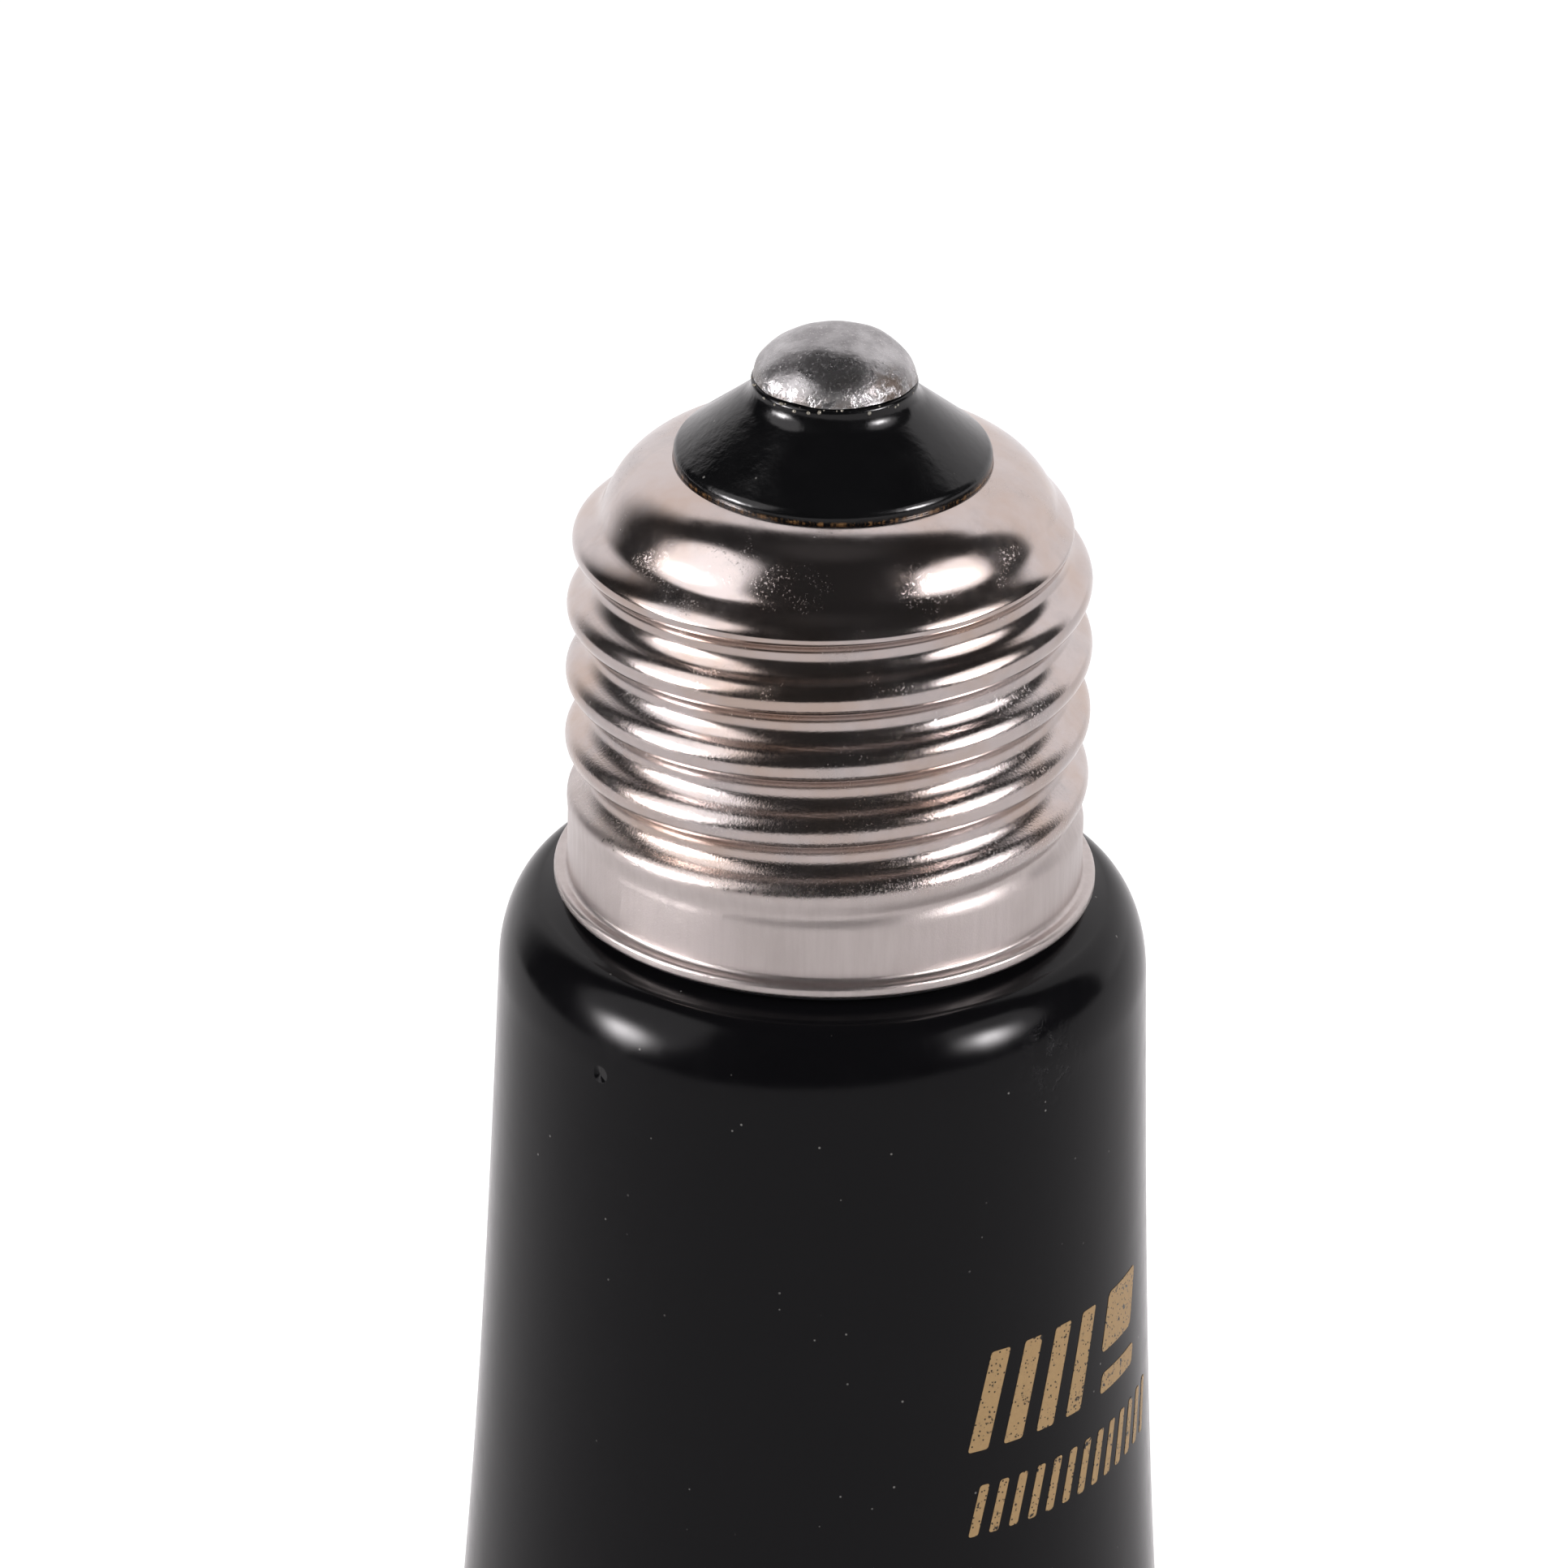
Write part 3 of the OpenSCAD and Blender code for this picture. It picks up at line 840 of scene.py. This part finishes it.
def black_glaze():
    """Very dark and smooth, with specks, a rubbed spot, a pinhole and orange peel."""
    f = Finish("black_glaze")
    f.set(Base_Color=(*GLAZE, 1), IOR=1.5, Specular_IOR_Level=0.155)
    clouds = f.noise(60, 2)
    specks = f.cells(820)
    rare = f.noise(210, 1)
    dust = f.math("MULTIPLY", f.ramp(specks, [(0.035, 1.0), (0.06, 0.0)]),
                  f.ramp(rare, [(0.52, 0.0), (0.58, 1.0)]))
    f.link(f.mix(dust, f.mix(clouds, GLAZE, (0.0034, 0.0032, 0.0038)), DUST), "Base Color")
    rubbed = f.math("MULTIPLY", f.near(SCUFF, 0.6, 2.6),
                    f.ramp(f.noise(1500, 4, 0.7), [(0.5, 0.0), (0.62, 1.0)]))
    gloss = f.between(f.noise(900, 4), 0.3, 0.7, 0.11, 0.18)
    f.link(f.mix(rubbed, gloss, (0.4, 0.4, 0.4)), "Roughness")
    peel = f.bump(f.noise(330, 2), 0.00005, 0.22)
    rub = f.bump(rubbed, -0.00003, 0.6, peel)
    hole = f.bump(f.near(PINHOLE, 0.05, 0.45), -0.00025, 0.9, rub)
    f.link(f.bump(f.noise(45, 1), 0.0004, 0.12, hole), "Normal")
    return f


wear(body, black_glaze())

# %% [markdown]
# The shell is nickel over brass or steel. Where the crown was drawn over a polished punch it
# is bright. The rolling wheel roughened the lower turns a little, and the skirt keeps the fine
# upright grain of the sheet. So the grain and the roughness are mixed by height, with the
# height of the rim as the origin. Fine pits lie in patches, and a few scuffs on the front of
# the crown have places of their own.

# %% Nickel
NICKEL = (0.61, 0.545, 0.525)
NICKEL_GREY = (0.52, 0.48, 0.47)
NICKEL_WARM = (0.57, 0.46, 0.4)
NICKEL_SKIRT = (0.6, 0.543, 0.525)
NICKEL_DULL = (0.5, 0.448, 0.43)
BRIGHT_ABOVE = RIM_Z + 19 * MM
ROLLED_BELOW = RIM_Z + 9 * MM
THREAD_ABOVE = RIM_Z + 6.2 * MM
SKIRT_BELOW = RIM_Z + 4.8 * MM
CROWN_SCUFFS = (
    mark_place(-1.0, -11.0, 21.1),
    mark_place(-2.7, -10.7, 21.2),
    mark_place(-4.9, -9.3, 22.1),
    mark_place(4.6, -10.2, 20.9),
)


def nickel():
    """Bright on the crown, grained on the lower turns and brushed on the skirt."""
    f = Finish("nickel")
    f.set(Metallic=1.0)
    height = f.axis("Z")
    rolled = f.between(height, BRIGHT_ABOVE, ROLLED_BELOW)
    skirt = f.between(height, THREAD_ABOVE, SKIRT_BELOW)
    stain = f.ramp(f.noise(170, 4, 0.6), [(0.42, 0.0), (0.68, 1.0)])
    film = f.ramp(f.noise(330, 5, 0.65), [(0.45, 0.0), (0.75, 1.0)])
    patchy = f.ramp(f.noise(330, 3, 0.6), [(0.54, 0.0), (0.68, 1.0)])
    ragged = f.ramp(f.noise(900, 3, 0.7), [(0.42, 0.0), (0.56, 1.0)])
    for scuff in CROWN_SCUFFS:
        rubbed = f.math("MULTIPLY", f.near(scuff, 0.5, 2.0), ragged)
        patchy = f.math("MAXIMUM", patchy, rubbed)
    pits = f.math("MULTIPLY", f.ramp(f.noise(7200, 3, 0.7), [(0.57, 0.0), (0.68, 1.0)]), patchy)
    streaks = f.noise(1, 3, 0.6, f.stretched((3000, 3000, 240)))
    worn = f.mix(stain, f.mix(film, NICKEL, NICKEL_GREY), NICKEL_WARM)
    cloudy = f.ramp(f.noise(260, 4, 0.6), [(0.42, 0.0), (0.66, 1.0)])
    brushed = f.mix(f.between(streaks, 0.35, 0.65, 0.0, 0.3), NICKEL_SKIRT, NICKEL_DULL)
    sheet = f.mix(f.math("MULTIPLY", cloudy, 0.5), brushed, NICKEL_DULL)
    f.link(f.mix(skirt, worn, sheet), "Base Color")
    grain = f.noise(8200, 2, 0.7)
    smooth_metal = f.between(grain, 0.3, 0.7, 0.11, 0.17)
    filmed_metal = f.mix(film, smooth_metal, (0.26, 0.26, 0.26))
    rough_metal = f.between(grain, 0.3, 0.7, 0.13, 0.27)
    skirt_metal = f.between(streaks, 0.3, 0.7, 0.28, 0.4)
    rough = f.mix(skirt, f.mix(rolled, filmed_metal, rough_metal), skirt_metal)
    f.link(f.mix(pits, rough, (0.42, 0.42, 0.42)), "Roughness")
    grain_bump = f.bump(f.math("MULTIPLY", grain, rolled), 0.000014, 0.8)
    streak_bump = f.bump(f.math("MULTIPLY", streaks, skirt), 0.000006, 0.6, grain_bump)
    pit_bump = f.bump(pits, -0.00001, 0.4, streak_bump)
    f.link(f.bump(f.noise(420, 2), 0.00003, 0.3, pit_bump), "Normal")
    return f


wear(shell, nickel())

# %% [markdown]
# The insulator is opaque black glass, glossier than the glaze. Around its foot, where glass
# meets metal, a thin broken line of rust shows. It is mixed in by height, so it stays at the
# joint. The mould left small dents on the left flank, which a bump gives near one place.

# %% Black glass
GLASS = (0.003, 0.003, 0.0034)
RUST = (0.16, 0.085, 0.035)
RUST_TOP_Z = (opening_z + 0.16) * MM
RUST_FULL_Z = (opening_z + 0.02) * MM
DENTS = mark_place(-6.0, -2.8, 24.8)


def black_glass():
    """Glossy, with dust, small dents and a line of rust at the foot."""
    f = Finish("black_glass")
    f.set(IOR=1.52, Specular_IOR_Level=0.36)
    flecks = f.ramp(f.noise(3000, 4, 0.7), [(0.47, 0.0), (0.6, 1.0)])
    foot = f.between(f.axis("Z"), RUST_TOP_Z, RUST_FULL_Z)
    rust = f.math("MULTIPLY", flecks, foot)
    dust = f.math("MULTIPLY", f.ramp(f.cells(900), [(0.05, 1.0), (0.08, 0.0)]),
                  f.ramp(f.noise(300, 1), [(0.55, 0.0), (0.6, 1.0)]))
    dents = f.math("MULTIPLY", f.noise(1300, 3, 0.6), f.near(DENTS, 1.5, 4.5))
    f.link(f.mix(rust, f.mix(dust, GLASS, DUST), RUST), "Base Color")
    f.link(f.between(f.noise(700, 3), 0.3, 0.7, 0.1, 0.22), "Roughness")
    dented = f.bump(dents, 0.00007, 0.7)
    fine = f.bump(f.noise(1800, 3, 0.6), 0.000015, 0.6, dented)
    f.link(f.bump(f.noise(420, 3, 0.6), 0.00006, 0.5, fine), "Normal")
    return f


wear(insulator, black_glass())

# %% [markdown]
# Solder sets with a dull grey skin. It is scratched where it was tried in a holder, and its
# dull patches sit beside brighter ones. Along its lower edge and at one side flux has burnt to
# a brown crust, which is less metallic than the rest. The flux beads are a clear resin, and the
# print is gold with specks where the pad left none.

# %% Solder, flux and gold
SOLDER = (0.52, 0.51, 0.515)
SOLDER_DULL = (0.32, 0.31, 0.315)
SOLDER_BRIGHT = (0.74, 0.72, 0.72)
BURNT = (0.06, 0.036, 0.022)
BURNT_SIDE = mark_place(2.9, -2.9, 28.3)
BURNT_TOP_Z = (glass_top + 1.0) * MM
BURNT_FULL_Z = (glass_top + 0.2) * MM
FLUX = (0.85, 0.81, 0.74)
GOLD = (0.24, 0.15, 0.065)
GOLD_PALE = (0.34, 0.22, 0.1)


def solder_metal():
    """A grey skin with bright grains, scratches and a brown crust."""
    f = Finish("solder")
    f.set(Metallic=1.0)
    patches = f.noise(480, 4, 0.65)
    scratches = f.noise(1, 2, 0.5, f.stretched((700, 5200, 5200)))
    grains = f.ramp(f.noise(6800, 3, 0.7), [(0.56, 0.0), (0.7, 1.0)])
    dull = f.mix(f.ramp(patches, [(0.4, 0.0), (0.65, 1.0)]), SOLDER, SOLDER_DULL)
    colour = f.mix(f.math("MULTIPLY", grains, 0.7), dull, SOLDER_BRIGHT)
    low = f.between(f.axis("Z"), BURNT_TOP_Z, BURNT_FULL_Z)
    char = f.math("MAXIMUM", f.math("MULTIPLY", low, 0.8), f.near(BURNT_SIDE, 0.6, 1.8))
    spots = f.math("MULTIPLY", f.ramp(f.noise(1500, 4, 0.65), [(0.42, 0.0), (0.54, 1.0)]), char)
    f.link(f.mix(f.math("MULTIPLY", spots, 0.9), colour, BURNT), "Base Color")
    f.link(f.between(spots, 0.0, 1.0, 1.0, 0.3), "Metallic")
    gloss = f.between(patches, 0.3, 0.7, 0.24, 0.36)
    f.link(f.mix(grains, gloss, (0.34, 0.34, 0.34)), "Roughness")
    skin = f.bump(f.noise(1500, 4, 0.6), 0.00005, 0.45)
    crust = f.bump(spots, 0.00008, 0.5, f.bump(grains, 0.00001, 0.6, skin))
    f.link(f.bump(scratches, 0.00002, 0.4, crust), "Normal")
    return f


def flux_resin():
    """Clear resin, a little yellow, in places clouded."""
    f = Finish("flux")
    f.set(Transmission_Weight=0.7, IOR=1.5)
    f.link(f.mix(f.noise(1500, 2), FLUX, (0.5, 0.4, 0.27)), "Base Color")
    f.link(f.between(f.noise(2400, 2), 0.3, 0.7, 0.05, 0.25), "Roughness")
    return f


def starved_gold():
    """Gold with round holes and gaps that show the colour of the glaze."""
    f = Finish("starved_gold")
    f.set(Metallic=0.2)
    dots = f.ramp(f.cells(4300), [(0.17, 1.0), (0.27, 0.0)])
    gaps = f.ramp(f.noise(1900, 3, 0.6), [(0.33, 1.0), (0.39, 0.0)])
    holes = f.math("MAXIMUM", dots, gaps)
    shade = f.mix(f.noise(3800, 4, 0.7), GOLD, GOLD_PALE)
    f.link(f.mix(holes, shade, GLAZE), "Base Color")
    f.link(f.mix(holes, (0.5, 0.5, 0.5), (0.15, 0.15, 0.15)), "Roughness")
    return f


wear(solder, solder_metal())
wear(flux, flux_resin())
wear(gold, starved_gold())

# %% [markdown]
# The plate, the cement and the leads are sealed inside the cap. They keep the shape that the
# CAD model gives them and only get a plain honest finish.


# %% Finishes of the sealed pieces
def hidden_finish(name, first, second, metallic, rough, scale):
    """Two colours mixed by a noise, with a matching fine bump."""
    f = Finish(name)
    f.set(Metallic=metallic)
    pattern = f.noise(scale, 4, 0.6)
    f.link(f.mix(pattern, first, second), "Base Color")
    f.link(f.between(pattern, 0.3, 0.7, rough * 0.8, rough * 1.2), "Roughness")
    f.link(f.bump(pattern, 0.00003, 0.4), "Normal")
    return f


wear(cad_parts["contact_plate"],
     hidden_finish("brass", (0.72, 0.55, 0.26), (0.58, 0.42, 0.18), 1.0, 0.3, 600))
wear(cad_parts["cap_cement"],
     hidden_finish("cement", (0.72, 0.68, 0.6), (0.5, 0.47, 0.41), 0.0, 0.85, 900))
copper = hidden_finish("copper", (0.7, 0.38, 0.24), (0.5, 0.25, 0.15), 1.0, 0.35, 1200)
wear(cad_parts["centre_lead"], copper)
wear(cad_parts["side_lead"], copper)
print("finishes:", sorted(m.name for m in bpy.data.materials))

# %% [markdown]
# ## The studio
# The photograph was taken on a white sweep in a darker room, with a softbox on each side of the
# camera. The plain parts come first: a pale floor and a white surround. Part of their
# brightness is only there for camera rays and for rays that metal and glass send on, so the
# background is white and yet the part isn't flooded with light.

# %% Floor and surround
FLOOR_SIZE = 6.0
FLOOR_PALE = (0.82, 0.82, 0.82)
FLOOR_ROUGH = 0.9
FLOOR_SHEEN = 0.1
CAMERA_WHITE = 0.3
WORLD_LIGHT = 0.55


def camera_sees(nodes, links):
    """1 where a camera, glossy or transmission ray looks, so metal and glass see it too."""
    path = nodes.new("ShaderNodeLightPath")
    total = None
    for name in ("Is Camera Ray", "Is Glossy Ray", "Is Transmission Ray"):
        if total is None:
            total = path.outputs[name]
            continue
        node = nodes.new("ShaderNodeMath")
        node.operation = "MAXIMUM"
        links.new(total, node.inputs[0])
        links.new(path.outputs[name], node.inputs[1])
        total = node.outputs["Value"]
    return total


def pale_floor():
    """A matt pale floor under the part, lifted to white for the camera."""
    deselect()
    bpy.ops.mesh.primitive_plane_add(size=FLOOR_SIZE, location=(0, 0, cad_box[0].z))
    floor = bpy.context.object
    floor.name = "floor"
    material = bpy.data.materials.new("pale_floor")
    material.use_nodes = True
    nodes, links = material.node_tree.nodes, material.node_tree.links
    shader = nodes["Principled BSDF"]
    shader.inputs["Base Color"].default_value = (*FLOOR_PALE, 1)
    shader.inputs["Roughness"].default_value = FLOOR_ROUGH
    shader.inputs["Specular IOR Level"].default_value = FLOOR_SHEEN
    shader.inputs["Emission Color"].default_value = (1, 1, 1, 1)
    strength = nodes.new("ShaderNodeMath")
    strength.operation = "MULTIPLY"
    strength.inputs[1].default_value = CAMERA_WHITE
    links.new(camera_sees(nodes, links), strength.inputs[0])
    links.new(strength.outputs["Value"], shader.inputs["Emission Strength"])
    floor.data.materials.append(material)
    return floor


def white_surround():
    """A world that gives soft light, and full white to the camera."""
    world = bpy.data.worlds.new("surround")
    bpy.context.scene.world = world
    world.use_nodes = True
    nodes, links = world.node_tree.nodes, world.node_tree.links
    background = nodes["Background"]
    background.inputs["Color"].default_value = (1, 1, 1, 1)
    strength = nodes.new("ShaderNodeMapRange")
    strength.inputs["To Min"].default_value = WORLD_LIGHT
    strength.inputs["To Max"].default_value = 1.0
    links.new(camera_sees(nodes, links), strength.inputs["Value"])
    links.new(strength.outputs["Result"], background.inputs["Strength"])


floor = pale_floor()
white_surround()
print("floor", FLOOR_SIZE, "m wide at", round(floor.location.z, 4), "m, world light", WORLD_LIGHT)

# %% [markdown]
# Polished nickel and glaze mirror the room, so the room is painted round the part: a sphere
# whose lower half is pressed flat on the floor. A function gives the light that comes from each
# direction, and each point of the sphere stores it as an attribute that its material reads.
# There is a dark room above and at the camera's side, a table that is a little dim in front,
# an open white back, and two softboxes, each with a hot spot. Only mirror-like rays see it.
# Directions are in degrees: round from the camera's side, and up from level.

# %% Light of the room
ROOM_R = 1.7
ROOM_SEGMENTS = 240
ROOM_RINGS = 160
ROOM_TINT = (1.0, 0.965, 0.98)
ROOM_FLOOR_GAP = 0.5 * MM
DARK_WALL = 0.02
DARK_CEILING = 0.05
CEILING_EDGE = 76.0
CEILING_FADE = 16.0
TABLE_FRONT = 0.76
TABLE_BACK_FROM = 140.0
TABLE_BACK_FADE = 30.0
TABLE_EDGE = -7.0
TABLE_TILT = 0.1
TABLE_TILT_SPAN = 40.0
TABLE_FADE = 4.0
BACK_MIDDLE = 171.5
BACK_HALF_WIDTH = 56.5
BACK_LEFT_FADE = 26.0
BACK_RIGHT_FADE = 8.0
BACK_TOP = 62.0
BACK_TOP_FALL = 14.0
BACK_TOP_FADE = 6.0
PANEL = 1.6
PANEL_FADE = 0.35
HOT = 60.0
LEFT_PANEL = ((-70.0, 29.5), (26.0, 26.0))
LEFT_HOT = ((-71.5, 5.5), (8.1, 6.6))
RIGHT_PANEL = ((67.0, 26.0), (20.0, 18.0))
RIGHT_HOT = ((62.5, 17.5), (7.0, 6.6))


def soft_step(value, edge, width):
    """From 0 to 1 as a value passes an edge, over a width."""
    return blend((value - edge) / width + 0.5)


def offset(round_angle, elevation, patch):
    """How far a direction is from a patch's middle, in shares of the patch's half sizes."""
    (middle_round, middle_up), (half_round, half_up) = patch
    return (round_angle - middle_round) / half_round, (elevation - middle_up) / half_up


def softbox_light(round_angle, elevation, panel, hot):
    """A rounded panel with soft edges and a brighter spot where the bulb is."""
    x, y = offset(round_angle, elevation, panel)
    away = (abs(x) ** 3 + abs(y) ** 3) ** (1 / 3)
    u, v = offset(round_angle, elevation, hot)
    return PANEL * (1 - soft_step(away, 1.0, PANEL_FADE)) + HOT * math.exp(-u * u - v * v)


def wall_light(round_angle, elevation):
    """Walls and ceiling: nearly black, with the back open and white up to a curved top."""
    from_back = abs((round_angle - BACK_MIDDLE + 180) % 360 - 180)
    fade = BACK_RIGHT_FADE if round_angle > 0 else BACK_LEFT_FADE
    behind = 1 - soft_step(from_back, BACK_HALF_WIDTH, fade)
    top = BACK_TOP - BACK_TOP_FALL * min(from_back / BACK_HALF_WIDTH, 1) ** 2
    behind *= 1 - soft_step(elevation, top, BACK_TOP_FADE)
    ceiling = soft_step(elevation, CEILING_EDGE, CEILING_FADE)
    dark = DARK_WALL + (DARK_CEILING - DARK_WALL) * ceiling
    return dark + (1 - dark) * behind


def table_light(round_angle):
    """The table: a little dim in front and white towards the back."""
    behind = soft_step(abs(round_angle), TABLE_BACK_FROM, TABLE_BACK_FADE)
    return TABLE_FRONT + (1 - TABLE_FRONT) * behind


def table_edge(round_angle):
    """How high the table's far edge stands: it tilts across the front only."""
    return TABLE_EDGE + TABLE_TILT * max(-TABLE_TILT_SPAN, min(TABLE_TILT_SPAN, round_angle))


def room_light(round_angle, elevation):
    """All the light from a direction."""
    wall = wall_light(round_angle, elevation)
    on_table = 1 - soft_step(elevation, table_edge(round_angle), TABLE_FADE)
    level = wall + (table_light(round_angle) - wall) * on_table
    level += softbox_light(round_angle, elevation, LEFT_PANEL, LEFT_HOT)
    return level + softbox_light(round_angle, elevation, RIGHT_PANEL, RIGHT_HOT)


for name, direction in (("front wall", (0, 20)), ("table", (0, -30)), ("back", (180, 20))):
    print(name, "gives", round(room_light(*direction), 3))


# %% Painted room
def glossy_only(obj):
    """Let mirror-like rays alone see a stage object."""
    obj.visible_camera = False
    obj.visible_diffuse = False
    obj.visible_shadow = False
    obj.visible_transmission = False


def room_paint():
    """A black material that gives off the light stored at each point."""
    material = bpy.data.materials.new("room_paint")
    material.use_nodes = True
    nodes, links = material.node_tree.nodes, material.node_tree.links
    shader = nodes["Principled BSDF"]
    shader.inputs["Base Color"].default_value = (0, 0, 0, 1)
    shader.inputs["Specular IOR Level"].default_value = 0.0
    shader.inputs["Emission Color"].default_value = (*ROOM_TINT, 1)
    stored = nodes.new("ShaderNodeAttribute")
    stored.attribute_name = "light"
    links.new(stored.outputs["Fac"], shader.inputs["Emission Strength"])
    return material


def painted_room():
    """The sphere round the cap, pressed flat above the floor, with its light at each point."""
    deselect()
    bpy.ops.mesh.primitive_uv_sphere_add(
        segments=ROOM_SEGMENTS, ring_count=ROOM_RINGS, radius=1
    )
    room = bpy.context.object
    room.name = "painted_room"
    room.location = (0, 0, RIM_Z)
    light = room.data.attributes.new("light", "FLOAT", "POINT")
    drop = RIM_Z - cad_box[0].z - ROOM_FLOOR_GAP
    for v in room.data.vertices:
        away = v.co.normalized()
        reach = ROOM_R
        if away.z * ROOM_R < -drop:
            reach = -drop / away.z
        round_angle = math.degrees(math.atan2(away.x, -away.y))
        elevation = math.degrees(math.asin(max(-1.0, min(1.0, away.z))))
        light.data[v.index].value = room_light(round_angle, elevation)
        v.co = away * reach
    room.data.materials.append(room_paint())
    glossy_only(room)
    return room


room = painted_room()
print("room of", len(room.data.vertices), "points, radius", ROOM_R, "m")

# %% [markdown]
# The two lamps give soft light from both sides. They light the matt parts and throw the shadow,
# and mirror-like rays see the painted softboxes instead of them.

# %% Lamps
LAMP_FAR = 1.0
LAMP_SIZE = 0.6
LAMP_POWER = 7.0


def away_from_cap(azimuth, elevation):
    """Unit vector from the cap in a direction; azimuth 0 is the camera's side."""
    a, e = math.radians(azimuth), math.radians(elevation)
    return Vector((math.sin(a) * math.cos(e), -math.cos(a) * math.cos(e), math.sin(e)))


def lamp(name, azimuth, elevation):
    """A square lamp that faces the cap."""
    away = away_from_cap(azimuth, elevation)
    place = Vector((0, 0, RIM_Z)) + away * LAMP_FAR
    bpy.ops.object.light_add(type="AREA", location=place)
    light = bpy.context.object
    light.name = name
    light.data.shape = "SQUARE"
    light.data.size = LAMP_SIZE
    light.data.energy = LAMP_POWER
    light.rotation_euler = away.to_track_quat("Z", "Y").to_euler()
    light.visible_glossy = False
    return light


for light in (lamp("left_lamp", -62, 24), lamp("right_lamp", 70, 26)):
    print(light.name, "at", [round(c, 2) for c in light.location])
bpy.context.scene.view_settings.view_transform = "Standard"
